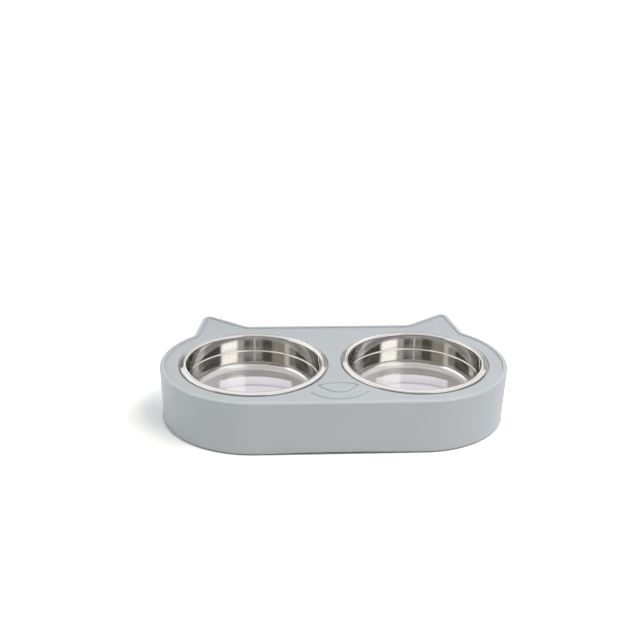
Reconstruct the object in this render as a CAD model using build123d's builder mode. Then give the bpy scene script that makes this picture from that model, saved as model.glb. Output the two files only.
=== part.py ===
"""Raised double pet bowl: a moulded stand with two pointed ears at the back carries two
steel bowls that lift straight out, and stands on four push-in rubber feet."""

import os
from math import atan2, cos, degrees, hypot, radians, sin

from build123d import *

# Plan of the stand: +X to the right, +Y to the back, millimetres throughout
bowl_pitch = 143.0  # between the bowl centres, from which the two ends are struck as well
deck_margin = 17.2  # deck and lip outside the flange of a bowl
ear_angle = 68.6  # degrees from a bowl's centre to the tip of its ear
ear_reach = 39.8  # past the end to where the sides of an ear would meet unrounded
ear_inner_out = 4.5  # where the inner side leaves the back edge, outwards of the bowl's centre
ear_outer_angle = 49.0  # degrees round the end where the outer side leaves it
ear_tip_round = 6.5
ear_inner_round = 12.0
ear_outer_round = 6.0

# Section of the stand
stand_height = 49.3  # top of the lip above the ground
ground_gap = 1.0  # the skirt hangs this far above the ground
skirt_wall = 2.5
skirt_draft = 2.2  # the foot of the skirt stands in from its top by this much
deck_thickness = 2.6
lip_width = 4.0
lip_height = 1.4  # lip top above the deck
lip_outer_round = 1.6
lip_inner_round = 0.5
skirt_foot_round = 0.6
arch_rise = 1.1  # how far the straight bottom edges rise in the middle

# Underside of the stand
collar_wall = 2.0
collar_drop = 10.0  # below the deck
rib_wall = 1.8
rib_drop = 14.0  # below the deck
end_rib_angle = 12.0  # degrees round the end, both ways
boss_wall = 2.4

# Engraved face between the bowls, measured from the line through the bowl centres
groove_width = 1.1
groove_depth = 0.7
nose_half_width = 17.3
nose_corner_y = -45.5
nose_top_y = -40.5
nose_point_y = -66.5  # where its two lower sides would meet
nose_point_round = 13.0
smile_half_width = 24.5
smile_end_y = -58.0
smile_low_y = -72.0

# Bowl of pressed sheet
sheet = 0.7
flange_radius = 65.0
mouth_radius = 59.0  # inside edge of the flange
mouth_round = 1.0
flange_crown = 0.35  # the flange rises by this much from the mouth
crown_share = 0.4  # of the flange, from the mouth out to the top of the crown
crown_round = 5.0
flange_fall = 0.75  # and falls by this much to its outer edge
hem_height = 3.1  # crown of the flange to the underside of its folded edge
hem_round_share = 0.42  # of the height between the sheet's middle lines at the edge
hem_return = 2.4  # the folded edge runs back inwards under the flange
bowl_depth = 33.0  # crown of the flange to the floor inside
step_depth = 15.0  # crown of the flange to the top of the step in the wall
step_drop = 0.7
step_round = 0.5
upper_wall_lean = 0.7  # the wall narrows by this much from the mouth to the step
step_width = 1.0
lower_wall_lean = 0.7  # and by this much from the step to the floor
floor_round = 9.0

# Seat of a bowl in the deck
seat_depth = 1.3
seat_clearance = 1.2  # round the flange
well_clearance = 0.8  # round the bowl's wall

# Push-in rubber foot
foot_width_share = 0.72  # of the space between a collar and the skirt
foot_thickness = 2.6
foot_edge_round = 0.7
plug_width_share = 0.52  # of the foot's width
plug_length = 9.0
plug_lead = 0.8  # chamfer that leads the plug in
plug_clearance = 0.1
socket_end_gap = 1.5  # left free above the plug
front_foot_angle = 52.0  # degrees from the bowl centre towards the front
rear_foot_share = 0.76  # of the way from the bowl centre to the ear tip

# Cuts run past the faces that they open by this much
overrun = 2.0

sides = {"left": -1, "right": 1}
bowl_x = bowl_pitch / 2
end_radius = flange_radius + deck_margin
ear_tip_x = bowl_x + (end_radius + ear_reach) * cos(radians(ear_angle))
ear_tip_y = (end_radius + ear_reach) * sin(radians(ear_angle))
ear_inner_x = bowl_x + ear_inner_out
notch_x = bowl_x + end_radius * cos(radians(ear_outer_angle))
notch_y = end_radius * sin(radians(ear_outer_angle))
deck_z = stand_height - lip_height
ceiling_z = deck_z - deck_thickness
draft_angle = degrees(atan2(skirt_draft, stand_height - ground_gap))
ceiling_draft = skirt_draft * (stand_height - ceiling_z) / (stand_height - ground_gap)
seat_radius = flange_radius + seat_clearance
well_radius = mouth_radius + sheet + well_clearance
collar_radius = well_radius + collar_wall
channel_width = end_radius - skirt_draft - skirt_wall - collar_radius
foot_circle = collar_radius + channel_width / 2
foot_radius = foot_width_share * channel_width / 2
plug_radius = plug_width_share * foot_radius
socket_radius = plug_radius + plug_clearance
boss_radius = socket_radius + boss_wall


def near(vertex, x, y):
    """Whether a corner of the plan lies at this place on either side."""
    return hypot(abs(vertex.X) - x, vertex.Y - y) < ear_outer_round


# The outline is drawn about the middle of the two bowls; sharp corners are rounded last
with BuildSketch() as outline:
    with BuildLine():
        Line((0, -end_radius), (bowl_x, -end_radius))
        end = CenterArc((bowl_x, 0), end_radius, -90, 90 + ear_outer_angle)
        ear_outside = Line(end @ 1, (ear_tip_x, ear_tip_y))
        ear_inside = Line(ear_outside @ 1, (ear_inner_x, end_radius))
        Line(ear_inside @ 1, (0, end_radius))
        mirror(about=Plane.YZ)
    make_face()
    fillet(outline.vertices().group_by(Axis.Y)[-1], ear_tip_round)
    fillet(outline.vertices().filter_by(lambda v: near(v, ear_inner_x, end_radius)), ear_inner_round)
    fillet(outline.vertices().filter_by(lambda v: near(v, notch_x, notch_y)), ear_outer_round)

# The plan is set back to front so that its middle lies over the origin
plan_box = outline.sketch.bounding_box()
plan = Plane((0, -(plan_box.min.Y + plan_box.max.Y) / 2, 0))


def foot_places(side):
    """Where the two feet on one side stand, in the plan's own coordinates."""
    front_angle = radians(-front_foot_angle)
    front_x = bowl_x + foot_circle * cos(front_angle)
    rear_x = bowl_x + rear_foot_share * (ear_tip_x - bowl_x)
    return {
        "front": (side * front_x, foot_circle * sin(front_angle)),
        "rear": (side * rear_x, rear_foot_share * ear_tip_y),
    }


feet = {(row, name): at for name, side in sides.items() for row, at in foot_places(side).items()}
bowl_centres = [(side * bowl_x, 0) for side in sides.values()]

with BuildPart() as base_shell:
    with BuildSketch(plan.offset(stand_height)):
        add(outline.sketch)
    extrude(amount=ground_gap - stand_height, taper=draft_angle)
    fillet(base_shell.faces().sort_by(Axis.Z)[-1].edges(), lip_outer_round)
    fillet(base_shell.faces().sort_by(Axis.Z)[0].edges(), skirt_foot_round)

    # Deck sunk inside the lip, hollow open below
    with BuildSketch(plan.offset(stand_height)):
        offset(outline.sketch, amount=-lip_width)
    extrude(amount=-lip_height, mode=Mode.SUBTRACT)
    fillet(base_shell.faces().sort_by(Axis.Z)[-1].inner_wires()[0].edges(), lip_inner_round)
    with BuildSketch(plan.offset(ceiling_z)) as hollow:
        offset(outline.sketch, amount=-skirt_wall - ceiling_draft)
    extrude(amount=-ceiling_z, taper=draft_angle, mode=Mode.SUBTRACT)

    # Collars round the wells, ribs and foot bosses hang from the ceiling
    with BuildSketch(plan.offset(ceiling_z)):
        with Locations(*bowl_centres):
            Circle(collar_radius)
    extrude(amount=-collar_drop)
    with BuildSketch(plan.offset(ceiling_z)):
        Rectangle(rib_wall, 2 * end_radius)
        rib_length = end_radius + ear_reach
        for side in sides.values():
            for angle in (-front_foot_angle, -end_rib_angle, end_rib_angle, ear_angle):
                out = rib_length / 2 * cos(radians(angle))
                along = rib_length / 2 * sin(radians(angle))
                with Locations(Location((side * (bowl_x + out), along), side * angle)):
                    Rectangle(rib_length, rib_wall)
        add(hollow.sketch_local, mode=Mode.INTERSECT)
    extrude(amount=-rib_drop)
    with BuildSketch(plan.offset(foot_thickness)):
        with Locations(*feet.values()):
            Circle(boss_radius)
    extrude(amount=ceiling_z - foot_thickness)
    with BuildSketch(plan.offset(foot_thickness)):
        with Locations(*feet.values()):
            Circle(socket_radius)
    extrude(amount=plug_length + socket_end_gap, mode=Mode.SUBTRACT)

    # Seats and wells for the bowls
    with BuildSketch(plan.offset(deck_z)):
        with Locations(*bowl_centres):
            Circle(seat_radius)
    extrude(amount=-seat_depth, mode=Mode.SUBTRACT)
    with BuildSketch(plan):
        with Locations(*bowl_centres):
            Circle(well_radius)
    extrude(amount=stand_height, mode=Mode.SUBTRACT)

    # Engraved nose and smile
    with BuildSketch(plan.offset(deck_z)):
        with BuildLine():
            nose_ends = [(-nose_half_width, nose_corner_y), (nose_half_width, nose_corner_y)]
            ThreePointArc(nose_ends[0], (0, nose_top_y), nose_ends[1])
        trace(line_width=groove_width)
        with BuildLine():
            FilletPolyline(nose_ends[0], (0, nose_point_y), nose_ends[1], radius=nose_point_round)
        trace(line_width=groove_width)
        with BuildLine():
            smile_ends = [(-smile_half_width, smile_end_y), (smile_half_width, smile_end_y)]
            ThreePointArc(smile_ends[0], (0, smile_low_y), smile_ends[1])
        trace(line_width=groove_width)
    extrude(amount=-groove_depth, mode=Mode.SUBTRACT)

    # The straight bottom edges at the front and the back arch a little off the ground
    arch_radius = (bowl_x**2 + arch_rise**2) / (2 * arch_rise)
    arch_plane = Plane(plan.origin, x_dir=(1, 0, 0), z_dir=(0, -1, 0))
    with BuildSketch(arch_plane):
        with Locations((0, ground_gap + arch_rise - arch_radius)):
            Circle(arch_radius)
    extrude(amount=end_radius + overrun, both=True, mode=Mode.SUBTRACT)


def bowl_part(side):
    """One bowl, spun from the middle line of its sheet."""
    centre = plan.from_local_coords((side * bowl_x, 0, 0))
    half = sheet / 2
    top = deck_z - seat_depth + hem_height - half
    hem_z = deck_z - seat_depth + half
    floor_z = top - bowl_depth
    mouth = mouth_radius + half
    crown = mouth_radius + crown_share * (flange_radius - mouth_radius)
    edge = flange_radius - half
    step_high = mouth - upper_wall_lean
    step_low = step_high - step_width
    middle_line = [
        (0, floor_z),
        (step_low - lower_wall_lean, floor_z),
        (step_low, top + half - step_depth - step_drop),
        (step_high, top + half - step_depth),
        (mouth, top - flange_crown),
        (crown, top),
        (edge, top - flange_fall),
        (edge, hem_z),
        (edge - hem_return, hem_z),
    ]
    hem_round = hem_round_share * (top - flange_fall - hem_z)
    rounds = [floor_round, step_round, step_round, mouth_round, crown_round, hem_round, hem_round]
    with BuildPart() as bowl:
        with BuildSketch(Plane(centre, x_dir=(1, 0, 0), z_dir=(0, -1, 0))):
            with BuildLine():
                FilletPolyline(*middle_line, radius=rounds)
            trace(line_width=sheet)
        revolve(axis=Axis(centre, (0, 0, 1)))
    return bowl.part


def foot_part(at):
    """One rubber foot: a disc on the ground and a plug in its boss."""
    centre = plan.from_local_coords((at[0], at[1], 0))
    with BuildPart() as foot:
        with BuildSketch(Plane(centre)):
            Circle(foot_radius)
        extrude(amount=foot_thickness)
        fillet(foot.edges().group_by(Axis.Z)[0], foot_edge_round)
        with BuildSketch(Plane(centre).offset(foot_thickness)):
            Circle(plug_radius)
        extrude(amount=plug_length)
        chamfer(foot.edges().group_by(Axis.Z)[-1], plug_lead)
    return foot.part


pieces = {"base_shell": base_shell.part}
for name, side in sides.items():
    pieces[name + "_bowl"] = bowl_part(side)
for (row, name), at in feet.items():
    pieces["foot_" + row + "_" + name] = foot_part(at)

os.makedirs("parts", exist_ok=True)
for name, piece in pieces.items():
    piece.label = name
    export_step(piece, "parts/" + name + ".step")
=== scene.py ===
"""Looks of the raised double pet bowl: the moulded stand, its two polished steel bowls and its
rubber feet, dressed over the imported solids, with the floor, the lights and the camera."""

from math import cos, pi, radians, sin

import bmesh
import bpy
from mathutils import Matrix, Vector


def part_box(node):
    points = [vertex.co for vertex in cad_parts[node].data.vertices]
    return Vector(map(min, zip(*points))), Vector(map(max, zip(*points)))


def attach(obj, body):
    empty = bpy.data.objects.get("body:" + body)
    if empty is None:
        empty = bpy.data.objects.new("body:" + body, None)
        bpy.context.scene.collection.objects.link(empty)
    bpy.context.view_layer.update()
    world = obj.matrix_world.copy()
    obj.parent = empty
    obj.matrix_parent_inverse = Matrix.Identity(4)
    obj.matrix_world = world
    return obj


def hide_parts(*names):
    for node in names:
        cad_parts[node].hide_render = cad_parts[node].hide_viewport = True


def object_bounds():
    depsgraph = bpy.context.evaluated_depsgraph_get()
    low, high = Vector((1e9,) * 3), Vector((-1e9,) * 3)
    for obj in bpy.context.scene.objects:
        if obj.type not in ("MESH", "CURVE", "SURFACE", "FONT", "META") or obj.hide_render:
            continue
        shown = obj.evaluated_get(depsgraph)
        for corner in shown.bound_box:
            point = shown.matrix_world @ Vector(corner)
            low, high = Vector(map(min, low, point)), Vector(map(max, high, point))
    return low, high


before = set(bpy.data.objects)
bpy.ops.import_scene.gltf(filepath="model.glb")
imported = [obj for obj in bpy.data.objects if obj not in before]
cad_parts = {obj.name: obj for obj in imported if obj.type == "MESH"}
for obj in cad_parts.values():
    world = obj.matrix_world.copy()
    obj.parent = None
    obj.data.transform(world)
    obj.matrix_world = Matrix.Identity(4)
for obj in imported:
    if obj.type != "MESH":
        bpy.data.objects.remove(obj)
cad_low, cad_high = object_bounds()

MM = 0.001

# Sizes shared with the solids, in millimetres
sheet = 0.7
flange_radius = 65.0
mouth_radius = 59.0
mouth_round = 1.0
flange_crown = 0.35
crown_share = 0.4
crown_round = 5.0
flange_fall = 0.75
hem_height = 3.1
hem_round_share = 0.42
hem_return = 2.4
bowl_depth = 33.0
step_depth = 15.0
step_drop = 0.7
step_width = 1.0
step_round = 0.5
upper_wall_lean = 0.7
lower_wall_lean = 0.7
floor_round = 9.0
deck_z = 47.9
seat_depth = 1.3
foot_thickness = 2.6
foot_edge_round = 0.7
plug_width_share = 0.52
plug_length = 9.0
plug_lead = 0.8

# Sizes of the dressed pieces alone, in millimetres
facet_ease = 0.006  # the crown of a flange stays under the facets of its solid
floor_ring_shares = (0.25, 0.5, 0.75, 0.95)  # rings of mesh on the flat floor of a bowl
cup_depth = 0.25  # hollow in the sole of a foot
cup_floor_share, cup_rim_share = 0.62, 0.68
cup_floor_round, cup_rim_round, foot_top_round = 0.3, 0.2, 0.15

# Mesh settings
bowl_segments, bowl_corner_steps = 224, 9
foot_segments, foot_corner_steps = 48, 5
stand_crease, spun_crease = radians(32), radians(40)  # sharper edges than these stay crisp
seam_weld, corner_weld = 1e-6, 2e-6  # metres
profile_scale = 10.0  # UV units along a spun profile, in each metre


# Geometry node trees

def geometry_tree(name, inputs):
    """A new tree with a geometry input, the given named inputs and a geometry output."""
    group = bpy.data.node_groups.new(name, "GeometryNodeTree")
    face = group.interface
    face.new_socket("Geometry", in_out="INPUT", socket_type="NodeSocketGeometry")
    for label, kind in inputs:
        face.new_socket(label, in_out="INPUT", socket_type=kind)
    face.new_socket("Geometry", in_out="OUTPUT", socket_type="NodeSocketGeometry")
    return group, group.nodes.new("NodeGroupInput"), group.nodes.new("NodeGroupOutput")


class Wiring:
    """Short hand for adding nodes to a tree and joining them."""

    def __init__(self, group):
        self.group = group

    def node(self, kind, settings=None, **sockets):
        made = self.group.nodes.new(kind)
        for key, value in (settings or {}).items():
            setattr(made, key, value)
        for key, value in sockets.items():
            self.feed(made.inputs[key.replace("_", " ")], value)
        return made

    def feed(self, socket, value):
        if isinstance(value, bpy.types.NodeSocket):
            self.group.links.new(value, socket)
        elif isinstance(value, bpy.types.Node):
            self.group.links.new(value.outputs[0], socket)
        else:
            socket.default_value = value

    def math(self, operation, first, second=0.0):
        made = self.group.nodes.new("ShaderNodeMath")
        made.operation = operation
        self.feed(made.inputs[0], first)
        self.feed(made.inputs[1], second)
        return made.outputs[0]


def spun_profile_tree():
    """Rounds the corners of a profile drawn in the XZ plane and spins it about an upright axis."""
    inputs = [
        ("Corner Steps", "NodeSocketInt"),
        ("Segments", "NodeSocketInt"),
        ("Centre", "NodeSocketVector"),
        ("Finish", "NodeSocketMaterial"),
    ]
    group, given, result = geometry_tree("spun_profile", inputs)
    w = Wiring(group)
    line = w.node("GeometryNodeMeshToCurve", Mesh=given.outputs["Geometry"])
    rounds = w.node("GeometryNodeInputNamedAttribute", {"data_type": "FLOAT"}, Name="round")
    rounded = w.node("GeometryNodeFilletCurve", {"mode": "POLY"}, Curve=line, Radius=rounds,
                     Count=given.outputs["Corner Steps"], Limit_Radius=True)
    count = w.node("GeometryNodeAttributeDomainSize", {"component": "CURVE"}, Geometry=rounded)
    rows = count.outputs["Point Count"]
    columns = w.math("ADD", given.outputs["Segments"], 1)
    grid = w.node("GeometryNodeMeshGrid", Vertices_X=columns, Vertices_Y=rows)
    index = w.node("GeometryNodeInputIndex")
    column = w.math("FLOOR", w.math("DIVIDE", index.outputs[0], rows))
    row = w.math("SUBTRACT", index.outputs[0], w.math("MULTIPLY", column, rows))
    place = w.node("GeometryNodeInputPosition")
    point = w.node("GeometryNodeSampleIndex", {"data_type": "FLOAT_VECTOR", "domain": "POINT"},
                   Geometry=rounded, Value=place, Index=row)
    along = w.node("GeometryNodeSplineParameter")
    length = w.node("GeometryNodeSampleIndex", {"data_type": "FLOAT", "domain": "POINT"},
                    Geometry=rounded, Value=along.outputs["Length"], Index=row)
    parts = w.node("ShaderNodeSeparateXYZ", Vector=point)
    turn = w.math("DIVIDE", column, given.outputs["Segments"])
    angle = w.math("MULTIPLY", turn, 2 * pi)
    x = w.math("MULTIPLY", parts.outputs["X"], w.math("COSINE", angle))
    y = w.math("MULTIPLY", parts.outputs["X"], w.math("SINE", angle))
    spun = w.node("ShaderNodeCombineXYZ", X=x, Y=y, Z=parts.outputs["Z"])
    placed = w.node("ShaderNodeVectorMath", {"operation": "ADD"})
    w.feed(placed.inputs[0], spun)
    w.feed(placed.inputs[1], given.outputs["Centre"])
    swept = w.node("GeometryNodeSetPosition", Geometry=grid.outputs["Mesh"], Position=placed)
    uv = w.node("ShaderNodeCombineXYZ", X=turn, Y=w.math("MULTIPLY", length, profile_scale))
    at_points = w.node("GeometryNodeFieldOnDomain", {"data_type": "FLOAT_VECTOR", "domain": "POINT"})
    w.feed(at_points.inputs[0], uv)
    marked = w.node("GeometryNodeStoreNamedAttribute", {"data_type": "FLOAT2", "domain": "CORNER"},
                    Geometry=swept, Name="UVMap", Value=at_points)
    closed = w.node("GeometryNodeMergeByDistance", Geometry=marked, Distance=seam_weld)
    smooth = w.node("GeometryNodeSetShadeSmooth", Geometry=closed)
    solid = w.node("GeometryNodeRealizeInstances", Geometry=smooth)
    dressed = w.node("GeometryNodeSetMaterial", Geometry=solid, Material=given.outputs["Finish"])
    w.feed(result.inputs["Geometry"], dressed)
    return group


def placed_feet_tree():
    """Sets one copy of the incoming foot at each of the four corners."""
    inputs = [
        ("Front Half Width", "NodeSocketFloat"),
        ("Front Y", "NodeSocketFloat"),
        ("Rear Half Width", "NodeSocketFloat"),
        ("Rear Y", "NodeSocketFloat"),
        ("Finish", "NodeSocketMaterial"),
    ]
    group, given, result = geometry_tree("placed_feet", inputs)
    w = Wiring(group)
    points = w.node("GeometryNodePoints", Count=4)
    index = w.node("GeometryNodeInputIndex").outputs[0]
    rear = w.math("GREATER_THAN", index, 1.5)
    side = w.math("SUBTRACT", w.math("MULTIPLY", w.math("MODULO", index, 2.0), 2.0), 1.0)

    def chosen(front_name, rear_name):
        front, back = given.outputs[front_name], given.outputs[rear_name]
        return w.math("ADD", front, w.math("MULTIPLY", rear, w.math("SUBTRACT", back, front)))

    x = w.math("MULTIPLY", side, chosen("Front Half Width", "Rear Half Width"))
    spot = w.node("ShaderNodeCombineXYZ", X=x, Y=chosen("Front Y", "Rear Y"))
    spread = w.node("GeometryNodeSetPosition", Geometry=points, Position=spot)
    copies = w.node("GeometryNodeInstanceOnPoints", Points=spread, Instance=given.outputs["Geometry"])
    solid = w.node("GeometryNodeRealizeInstances", Geometry=copies)
    dressed = w.node("GeometryNodeSetMaterial", Geometry=solid, Material=given.outputs["Finish"])
    w.feed(result.inputs["Geometry"], dressed)
    return group


def grown(name, mesh, tree, **values):
    """The plain mesh that a node tree makes from a starting mesh."""
    seed = bpy.data.objects.new(name + "_seed", mesh)
    bpy.context.scene.collection.objects.link(seed)
    modifier = seed.modifiers.new("grow", "NODES")
    modifier.node_group = tree
    named = {item.name: item.identifier for item in tree.interface.items_tree if item.in_out == "INPUT"}
    for key, value in values.items():
        modifier[named[key.replace("_", " ")]] = value
    depsgraph = bpy.context.evaluated_depsgraph_get()
    made = bpy.data.meshes.new_from_object(seed.evaluated_get(depsgraph), depsgraph=depsgraph)
    made.name = name
    bpy.data.objects.remove(seed)
    return made


# Meshes

def profile_mesh(name, corners):
    """A line of corners (radius, height, round) in millimetres as a mesh of edges."""
    mesh = bpy.data.meshes.new(name)
    places = [(r * MM, 0.0, z * MM) for r, z, _ in corners]
    mesh.from_pydata(places, [(i, i + 1) for i in range(len(places) - 1)], [])
    rounds = mesh.attributes.new("round", "FLOAT", "POINT")
    rounds.data.foreach_set("value", [c[2] * MM for c in corners])
    return mesh


def sheet_profile(middle, half):
    """Both faces of a bent sheet as one line, from the corners of its middle line."""
    faces = []
    for way in (1, -1):
        face = []
        for i, (r, z, bend) in enumerate(middle):
            ahead = middle[min(i + 1, len(middle) - 1)]
            behind = middle[max(i - 1, 0)]
            into = Vector((r - behind[0], z - behind[1]))
            out = Vector((ahead[0] - r, ahead[1] - z))
            into = into.normalized() if into.length else out.normalized()
            out = out.normalized() if out.length else into
            normal_in, normal_out = Vector((-into.y, into.x)), Vector((-out.y, out.x))
            mitre = (normal_in + normal_out) / (1 + normal_in.dot(normal_out))
            left = into.x * out.y - into.y * out.x
            radius = bend - way * half if left > 0 else bend + way * half
            face.append((r + way * half * mitre.x, z + way * half * mitre.y, radius if bend else 0.0))
        faces.append(face)
    return faces[0] + faces[1][::-1]


def smoothed(mesh, angle):
    """Merges loose corners, faces all outwards, keeps sharp edges crisp and weights the normals."""
    shape = bmesh.new()
    shape.from_mesh(mesh)
    bmesh.ops.remove_doubles(shape, verts=shape.verts, dist=corner_weld)
    bmesh.ops.recalc_face_normals(shape, faces=shape.faces)
    for face in shape.faces:
        face.smooth = True
    for edge in shape.edges:
        edge.smooth = len(edge.link_faces) == 2 and edge.calc_face_angle(pi) < angle
    shape.to_mesh(mesh)
    shape.free()
    holder = bpy.data.objects.new("holder", mesh)
    bpy.context.scene.collection.objects.link(holder)
    weighted = holder.modifiers.new("weighted", "WEIGHTED_NORMAL")
    weighted.keep_sharp = True
    depsgraph = bpy.context.evaluated_depsgraph_get()
    made = bpy.data.meshes.new_from_object(holder.evaluated_get(depsgraph), depsgraph=depsgraph)
    bpy.data.objects.remove(holder)
    return made


def piece(name, mesh, body, nodes):
    """Puts a finished mesh in the scene for the solids that it stands for."""
    made = bpy.data.objects.new(name, mesh)
    bpy.context.scene.collection.objects.link(made)
    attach(made, body)
    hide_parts(*nodes)


# Materials

def blank_material(name):
    material = bpy.data.materials.new(name)
    material.use_nodes = True
    material.node_tree.nodes.clear()
    w = Wiring(material.node_tree)
    shader = w.node("ShaderNodeBsdfPrincipled")
    output = w.node("ShaderNodeOutputMaterial", Surface=shader)
    return material, w, shader, output


def ramp(w, factor, stops):
    """A colour ramp with (place, grey or colour) stops."""
    made = w.node("ShaderNodeValToRGB", Fac=factor)
    elements = made.color_ramp.elements
    while len(elements) < len(stops):
        elements.new(0.5)
    for element, (place, shade) in zip(elements, stops):
        element.position = place
        element.color = (*shade, 1.0) if isinstance(shade, tuple) else (shade, shade, shade, 1.0)
    return made.outputs["Color"]


def eased(w, value, start, end, first=0.0, last=1.0):
    """Runs smoothly from the first level to the last while a value runs from start to end."""
    made = w.node("ShaderNodeMapRange", {"interpolation_type": "SMOOTHSTEP"}, Value=value,
                  From_Min=start, From_Max=end, To_Min=first, To_Max=last)
    return made.outputs[0]


def blend(w, factor, first, second):
    """Mixes two colours."""
    made = w.node("ShaderNodeMix", {"data_type": "RGBA"})
    for socket, value in ((0, factor), (6, first), (7, second)):
        w.feed(made.inputs[socket], value)
    return made.outputs[2]


def measured(w, operation, first, second=None):
    """A length, distance or dot product of vectors."""
    made = w.node("ShaderNodeVectorMath", {"operation": operation})
    w.feed(made.inputs[0], first)
    if second is not None:
        w.feed(made.inputs[1], second)
    return made.outputs["Value"]


def moulded_plastic():
    """Cool light grey, semi-matte, with a patchy painted highlight on the top of the lip, faint scuffs and the
    grain of the mould.
    """
    material, w, shader, _ = blank_material("stand_plastic")
    place = w.node("ShaderNodeTexCoord").outputs["Object"]
    cloud = w.node("ShaderNodeTexNoise", Vector=place, Scale=18.0, Detail=3.0, Roughness=0.5)
    body_colour = ramp(w, cloud.outputs["Fac"], [(0.3, (0.488, 0.514, 0.536)), (0.7, (0.515, 0.542, 0.563))])
    height = w.node("ShaderNodeSeparateXYZ", Vector=place).outputs["Z"]
    # Painted highlight: the lip top above the deck is blended in uneven patches towards a paler grey.
    painted_lip_highlight = eased(w, height, (deck_z + 0.3) * MM, (deck_z + 1.1) * MM, 0.0, 0.75)
    patchy = w.node("ShaderNodeTexNoise", Vector=place, Scale=60.0, Detail=3.0)
    lip_highlight_share = w.math("MULTIPLY", painted_lip_highlight, ramp(w, patchy.outputs["Fac"], [(0.3, 0.75), (0.7, 1.0)]))
    w.feed(shader.inputs["Base Color"], blend(w, lip_highlight_share, body_colour, (0.585, 0.607, 0.625, 1.0)))
    rub = w.node("ShaderNodeTexNoise", Vector=place, Scale=140.0, Detail=4.0, Roughness=0.6)
    strokes = w.node("ShaderNodeMapping", Vector=place)
    strokes.inputs["Rotation"].default_value = (0.0, 0.0, radians(24))
    strokes.inputs["Scale"].default_value = (30.0, 900.0, 200.0)
    scuff = w.node("ShaderNodeTexNoise", Vector=strokes, Scale=1.0, Detail=2.0)
    scuffs = ramp(w, scuff.outputs["Fac"], [(0.66, 0.0), (0.74, 0.07)])
    rough = ramp(w, rub.outputs["Fac"], [(0.3, 0.42), (0.7, 0.52)])
    w.feed(shader.inputs["Roughness"], w.math("SUBTRACT", rough, scuffs))
    grain = w.node("ShaderNodeTexNoise", Vector=place, Scale=2200.0, Detail=2.0, Roughness=0.5)
    bump = w.node("ShaderNodeBump", Strength=0.16, Distance=0.00004, Height=grain.outputs["Fac"])
    w.feed(shader.inputs["Normal"], bump)
    return material


def polished_steel():
    """Bright pressed steel: mirror walls with hair-fine spun lines, a satin base, a faint waviness."""
    material, w, shader, _ = blank_material("bowl_steel")
    shader.inputs["Metallic"].default_value = 1.0
    coordinates = w.node("ShaderNodeTexCoord")
    along = w.node("ShaderNodeSeparateXYZ", Vector=coordinates.outputs["UV"]).outputs["Y"]
    wander = w.node("ShaderNodeTexNoise", Vector=coordinates.outputs["Object"], Scale=9.0, Detail=0.0)

    def spun_lines(per_metre, drift):
        """Rings of noise round the bowl, closer or wider, that drift a little on their way round."""
        ring = w.math("ADD", w.math("MULTIPLY", along, per_metre / profile_scale),
                      w.math("MULTIPLY", wander.outputs["Fac"], drift))
        made = w.node("ShaderNodeTexNoise", {"noise_dimensions": "1D"}, W=ring, Scale=1.0, Detail=2.0)
        return made.outputs["Fac"]

    hairs, bands = spun_lines(4200.0, 3.0), spun_lines(700.0, 1.5)
    colour = ramp(w, hairs, [(0.3, (0.605, 0.598, 0.588)), (0.7, (0.645, 0.638, 0.628))])
    w.feed(shader.inputs["Base Color"], colour)
    # Along the profile from the middle of a bowl: a satin floor, then the duller bend up to the wall
    wall_inset = 3.0
    base_edge = (mouth_radius - floor_round - wall_inset) * MM * profile_scale
    corner_end = base_edge + floor_round * pi / 2 * MM * profile_scale
    satin = eased(w, along, base_edge - 0.05, base_edge + 0.05, 0.05, 0.0)
    bend_start = eased(w, along, base_edge - 0.02, base_edge + 0.03, 0.0, 0.2)
    bend_stop = eased(w, along, corner_end - 0.04, corner_end + 0.01, 1.0, 0.0)
    duller_bend = w.math("MULTIPLY", bend_start, bend_stop)
    rough = w.math("ADD", w.math("MULTIPLY", hairs, 0.07), w.math("ADD", duller_bend, 0.02))
    w.feed(shader.inputs["Roughness"], w.math("ADD", rough, satin))
    wave = w.node("ShaderNodeTexNoise", Vector=coordinates.outputs["Object"], Scale=45.0, Detail=1.0)
    sheet_wave = w.node("ShaderNodeBump", Strength=0.05, Distance=0.0004, Height=wave.outputs["Fac"])
    turned = w.node("ShaderNodeBump", Strength=0.08, Distance=0.00005, Height=bands, Normal=sheet_wave)
    fine = w.node("ShaderNodeBump", Strength=0.05, Distance=0.00003, Height=hairs, Normal=turned)
    w.feed(shader.inputs["Normal"], fine)
    return material


def foot_rubber():
    """Dark matte rubber with a fine skin."""
    material, w, shader, _ = blank_material("foot_rubber")
    place = w.node("ShaderNodeTexCoord").outputs["Object"]
    skin = w.node("ShaderNodeTexNoise", Vector=place, Scale=900.0, Detail=3.0)
    colour = ramp(w, skin.outputs["Fac"], [(0.3, (0.045, 0.045, 0.048)), (0.7, (0.07, 0.07, 0.073))])
    w.feed(shader.inputs["Base Color"], colour)
    rough = ramp(w, skin.outputs["Fac"], [(0.3, 0.7), (0.7, 0.85)])
    w.feed(shader.inputs["Roughness"], rough)
    bump = w.node("ShaderNodeBump", Strength=0.3, Distance=0.00008, Height=skin.outputs["Fac"])
    w.feed(shader.inputs["Normal"], bump)
    return material


plastic, steel, rubber = moulded_plastic(), polished_steel(), foot_rubber()

# Stand
stand_mesh = smoothed(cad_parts["base_shell"].data.copy(), stand_crease)
stand_mesh.materials.clear()
stand_mesh.materials.append(plastic)
piece("stand_moulding", stand_mesh, "stand", ["base_shell"])

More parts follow.
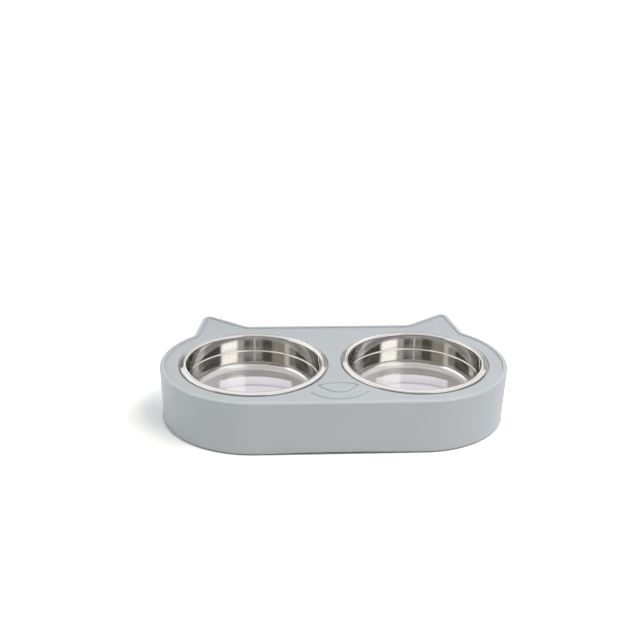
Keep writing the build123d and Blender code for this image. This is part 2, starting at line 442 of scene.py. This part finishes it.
# Bowls
spin = spun_profile_tree()
half = sheet / 2
hem_z = deck_z - seat_depth + half
top = deck_z - seat_depth + hem_height - half
floor_z = top - bowl_depth
mouth = mouth_radius + half
crown = mouth_radius + crown_share * (flange_radius - mouth_radius)
edge = flange_radius - half
step_high = mouth - upper_wall_lean
step_low = step_high - step_width
hem_round = hem_round_share * (top - flange_fall - hem_z)
floor_edge = step_low - lower_wall_lean
middle_line = [
    (0.0, floor_z, 0.0),
    *[(share * (floor_edge - floor_round), floor_z, 0.0) for share in floor_ring_shares],
    (floor_edge, floor_z, floor_round),
    (step_low, top + half - step_depth - step_drop, step_round),
    (step_high, top + half - step_depth, step_round),
    (mouth, top - flange_crown, mouth_round),
    (crown, top - facet_ease, crown_round),
    (edge, top - flange_fall, hem_round),
    (edge, hem_z, hem_round),
    (edge - hem_return, hem_z, 0.0),
]
for name in ("left_bowl", "right_bowl"):
    low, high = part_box(name)
    centre = Vector(((low.x + high.x) / 2, (low.y + high.y) / 2, 0.0))
    profile = profile_mesh(name + "_profile", sheet_profile(middle_line, half))
    bowl_mesh = grown(name, profile, spin, Corner_Steps=bowl_corner_steps, Segments=bowl_segments,
                      Centre=centre, Finish=steel)
    bowl_mesh = smoothed(bowl_mesh, spun_crease)
    piece(name + "_pressing", bowl_mesh, name, [name])
right_centre = centre

# Feet
feet_boxes = {row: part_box("foot_" + row + "_right") for row in ("front", "rear")}
mids = {row: (low + high) / 2 for row, (low, high) in feet_boxes.items()}
foot_radius = (feet_boxes["front"][1].x - feet_boxes["front"][0].x) / 2 / MM
plug_radius = plug_width_share * foot_radius
foot_profile = [
    (0.0, cup_depth, 0.0),
    (foot_radius * cup_floor_share, cup_depth, cup_floor_round),
    (foot_radius * cup_rim_share, 0.0, cup_rim_round),
    (foot_radius, 0.0, foot_edge_round),
    (foot_radius, foot_thickness, foot_top_round),
    (plug_radius, foot_thickness, 0.0),
    (plug_radius, foot_thickness + plug_length, plug_lead),
    (0.0, foot_thickness + plug_length, 0.0),
]
one_foot = grown("one_foot", profile_mesh("foot_profile", foot_profile), spin, Corner_Steps=foot_corner_steps,
                 Segments=foot_segments, Centre=Vector((0, 0, 0)), Finish=rubber)
feet_mesh = grown("feet", one_foot, placed_feet_tree(), Front_Half_Width=mids["front"].x,
                  Front_Y=mids["front"].y, Rear_Half_Width=mids["rear"].x, Rear_Y=mids["rear"].y,
                  Finish=rubber)
feet_mesh = smoothed(feet_mesh, spun_crease)
foot_nodes = ["foot_" + row + "_" + side for row in ("front", "rear") for side in ("left", "right")]
piece("push_in_feet", feet_mesh, "stand", foot_nodes)


# Floor

def studio_floor():
    """A pale floor that shows as white away from the object, keeps the shade at the left end of the stand
    and below it, and lets the camera see through it from below."""
    half_width = 9.0
    corners = [(-half_width, -half_width, 0), (half_width, -half_width, 0),
               (half_width, half_width, 0), (-half_width, half_width, 0)]
    mesh = bpy.data.meshes.new("floor")
    mesh.from_pydata(corners, [], [(0, 1, 2, 3)])
    floor = bpy.data.objects.new("floor", mesh)
    bpy.context.scene.collection.objects.link(floor)
    material, w, shader, output = blank_material("studio_floor")
    shader.inputs["Base Color"].default_value = (0.92, 0.92, 0.92, 1.0)
    shader.inputs["Roughness"].default_value = 0.9
    shader.inputs["Specular IOR Level"].default_value = 0.1
    place = w.node("ShaderNodeTexCoord").outputs["Object"]
    apart = w.node("ShaderNodeSeparateXYZ", Vector=place)
    sideways, depthways = w.math("ABSOLUTE", apart.outputs["X"]), apart.outputs["Y"]

    # Shade beside the left end, and white far off
    shade_spot = (cad_low.x + 0.004, cad_low.y + 0.055, 0.0)
    beside_end = eased(w, measured(w, "DISTANCE", place, shade_spot), 0.03, 0.1, 0.22, 0.62)
    far_off = eased(w, measured(w, "LENGTH", place), 0.25, 0.7)
    glow = w.math("MAXIMUM", beside_end, far_off)

    # Distance past the round ends and straight sides of the stand
    past_bowl = w.math("MAXIMUM", w.math("SUBTRACT", sideways, abs(right_centre.x)), 0.0)
    from_middle = w.node("ShaderNodeCombineXYZ", X=past_bowl, Y=w.math("SUBTRACT", depthways, right_centre.y))
    past_end = w.math("SUBTRACT", measured(w, "LENGTH", from_middle), right_centre.y - cad_low.y)

    # Distance past the edges of an ear, both ears folded into one
    folded = w.node("ShaderNodeCombineXYZ", X=sideways, Y=depthways)

    def past_edge(first, second):
        along = (Vector(second) - Vector(first)).normalized()
        outward = Vector((along.y, -along.x, 0.0))
        return w.math("SUBTRACT", measured(w, "DOT_PRODUCT", folded, outward), outward.xy.dot(Vector(first)))

    outer_foot, tip, inner_foot = (0.1256, 0.0491), (0.116, 0.1005), (0.076, 0.0693)
    ear_start, ear_stop = 0.04, cad_high.y - 0.004
    past_ear = w.math("MAXIMUM", past_edge(outer_foot, tip), past_edge(tip, inner_foot))
    past_ear = w.math("MAXIMUM", past_ear, w.math("SUBTRACT", ear_start, depthways))
    past_ear = w.math("MAXIMUM", past_ear, w.math("SUBTRACT", depthways, ear_stop))
    skirt_width = 0.0022
    glow = w.math("MULTIPLY", glow, eased(w, w.math("MINIMUM", past_end, past_ear), -skirt_width, 0.0))

    seen = w.node("ShaderNodeLightPath")
    shown = w.math("MAXIMUM", seen.outputs["Is Camera Ray"], seen.outputs["Is Glossy Ray"])
    shown = w.math("MAXIMUM", shown, seen.outputs["Is Transmission Ray"])
    shader.inputs["Emission Color"].default_value = (1.0, 1.0, 1.0, 1.0)
    w.feed(shader.inputs["Emission Strength"], w.math("MULTIPLY", glow, shown))
    one_sided = w.node("ShaderNodeMixShader", Fac=w.node("ShaderNodeNewGeometry").outputs["Backfacing"])
    w.feed(one_sided.inputs[1], shader)
    w.feed(one_sided.inputs[2], w.node("ShaderNodeBsdfTransparent"))
    w.feed(output.inputs["Surface"], one_sided)
    mesh.materials.append(material)


studio_floor()


# Light

def studio_surroundings():
    """White for the camera, a soft grey light on the object, and for the steel a dim studio with a pale
    ceiling and light panels round it."""
    world = bpy.data.worlds.new("studio")
    bpy.context.scene.world = world
    world.use_nodes = True
    w = Wiring(world.node_tree)
    way = w.node("ShaderNodeTexCoord").outputs["Generated"]
    rise = w.node("ShaderNodeSeparateXYZ", Vector=way).outputs["Z"]
    level = w.node("ShaderNodeVectorMath", {"operation": "MULTIPLY"})
    w.feed(level.inputs[0], way)
    level.inputs[1].default_value = (1.0, 1.0, 0.0)
    heading = w.node("ShaderNodeVectorMath", {"operation": "NORMALIZE"})
    w.feed(heading.inputs[0], level)

    def above(angle, soft=1.0):
        return eased(w, rise, sin(radians(angle - soft)), sin(radians(angle + soft)))

    def lit_panel(behind, start, end, low, high, light, tint, soft):
        """Hangs a panel before what is behind it: bearings clockwise from the back, rise, in degrees."""
        middle, half_width = radians((start + end) / 2), (end - start) / 2
        facing = measured(w, "DOT_PRODUCT", heading, (sin(middle), cos(middle), 0.0))
        across = eased(w, facing, cos(radians(half_width + soft / 2)),
                       cos(radians(max(half_width - soft / 2, 0.0))))
        up = above(low)
        if high < overhead:
            up = w.math("MULTIPLY", up, w.math("SUBTRACT", 1.0, above(high)))
        return blend(w, w.math("MULTIPLY", across, up), behind, (*[light * part for part in tint], 1.0))

    overhead = 90

    white, cream, sand = (1.0, 0.995, 0.99), (1.0, 0.975, 0.92), (1.0, 0.94, 0.77)
    rose, lilac = (1.0, 0.93, 0.88), (0.925, 0.905, 1.0)
    dim, ceiling, crown_light = (0.2, 0.185, 0.14, 1.0), (0.82, 0.79, 0.79, 1.0), (0.8, 0.77, 0.77, 1.0)
    ceiling_starts, crown_starts = 28.0, 62.0
    room = blend(w, above(crown_starts, 4.0), blend(w, above(ceiling_starts), dim, ceiling), crown_light)
    for panel in (
        (-130, -32, -80, 27, 1.3, cream, 14),  # wall beside the window
        (-113, -56, 15, 27, 3.8, cream, 12),  # window on the left
        (-60, 60, -80, 15, 0.95, white, 16),  # pale sweep behind
        (-12, 20, 15, 25, 0.5, rose, 6),  # back wall
        (-30, 30, 25, 62, 1.32, white, 12),  # upper back wall
        (3.4, 6.6, 15, 25, 2.6, white, 1),  # narrow gap in the back wall
        (20, 33, 14, 24, 0.6, white, 5),  # back right wall
        (68, 115, 18, 27, 0.8, sand, 16),  # right wall
        (114, 132, 12, 30, 1.6, cream, 6),  # lamp on the right
        (130, 160, -80, 24, 1.15, cream, 6),  # front right wall
        (130, 165, 27, 36, 1.85, white, 6),  # hood over it
        (165, 240, -80, 27, 0.16, sand, 8),  # dark front
        (165, 255, 27, 30, 0.95, lilac, 6),  # foot of the front light
        (112, 257, 30, 33, 2.5, lilac, 6),  # front light
        (165, 255, 33, 42, 0.66, sand, 6),  # shade over the front light
        (125, 160, 36, 62, 1.5, white, 8),  # high light on the right
        (28, 112, 28.5, 62, 1.1, white, 12),  # upper right wall
        (-75, 70, 64, overhead, 0.6, white, 40),  # overhead, dim to the back
        (75, 130, 64, overhead, 1.25, white, 30),  # overhead light on the right
        (-90, -60, 64, overhead, 1.25, white, 20),  # overhead light on the left
    ):
        room = lit_panel(room, *panel)
    seen = w.node("ShaderNodeLightPath")
    mirrored = w.math("MAXIMUM", seen.outputs["Is Glossy Ray"], seen.outputs["Is Transmission Ray"])
    soft_grey, plain_white = (0.25, 0.25, 0.25, 1.0), (1.0, 1.0, 1.0, 1.0)
    lit = blend(w, mirrored, soft_grey, room)
    shown = blend(w, seen.outputs["Is Camera Ray"], lit, plain_white)
    w.feed(world.node_tree.nodes["Background"].inputs["Color"], shown)


studio_surroundings()


def soft_box(name, bearing, rise, power, colour):
    """A square studio light that faces the object, placed by its bearing clockwise from the back and its
    rise in degrees. The steel mirrors the panels of the surroundings in its place."""
    side, reach = 0.7, 1.4
    aimed_at = Vector((0.0, 0.0, 0.03))
    out, round_to = radians(rise), radians(bearing)
    place = reach * Vector((cos(out) * sin(round_to), cos(out) * cos(round_to), sin(out)))
    lamp = bpy.data.lights.new(name, "AREA")
    lamp.shape = "RECTANGLE"
    lamp.size, lamp.size_y = side, side
    lamp.energy = power
    lamp.color = colour
    made = bpy.data.objects.new(name, lamp)
    bpy.context.scene.collection.objects.link(made)
    made.location = place
    made.rotation_euler = (aimed_at - place).to_track_quat("-Z", "Y").to_euler()
    made.visible_glossy = False


soft_box("front_lamp", 135, 62, 12.4, (1.0, 0.975, 0.88))
soft_box("left_lamp", -90, 30, 5.0, (0.91, 0.97, 1.0))
soft_box("right_lamp", 90, 50, 3.7, (0.52, 0.64, 1.0))


# Camera

def fitted_camera():
    """The camera that was fitted to the outlines of the stand and the rims, in millimetres and pixels."""
    focal_pixels, picture_pixels, sensor_width = 1241.4, 640, 36.0
    distance, camera_lift = 1121.1, 1.05
    azimuth, elevation, roll = radians(-5.0), radians(26.85), radians(1.076)
    aim = Vector((2.05, 209.73, 0.0))
    data = bpy.data.cameras.new("camera")
    data.sensor_width = sensor_width
    data.lens = focal_pixels / picture_pixels * sensor_width
    data.clip_start, data.clip_end = 0.01, 50.0
    camera = bpy.data.objects.new("camera", data)
    bpy.context.scene.collection.objects.link(camera)
    bpy.context.scene.camera = camera
    stand_at = distance * Vector((sin(azimuth) * cos(elevation), -cos(azimuth) * cos(elevation), sin(elevation)))
    back = (stand_at - aim).normalized()
    right = Vector((0, 0, 1)).cross(back).normalized()
    up = back.cross(right)
    rolled_right = cos(roll) * right + sin(roll) * up
    rolled_up = -sin(roll) * right + cos(roll) * up
    turned = Matrix((rolled_right, rolled_up, back)).transposed().to_4x4()
    from_plan = Vector((0, right_centre.y / MM, camera_lift))
    camera.matrix_world = Matrix.Translation((stand_at + from_plan) * MM) @ turned


fitted_camera()

bpy.context.scene.view_settings.view_transform = "Standard"
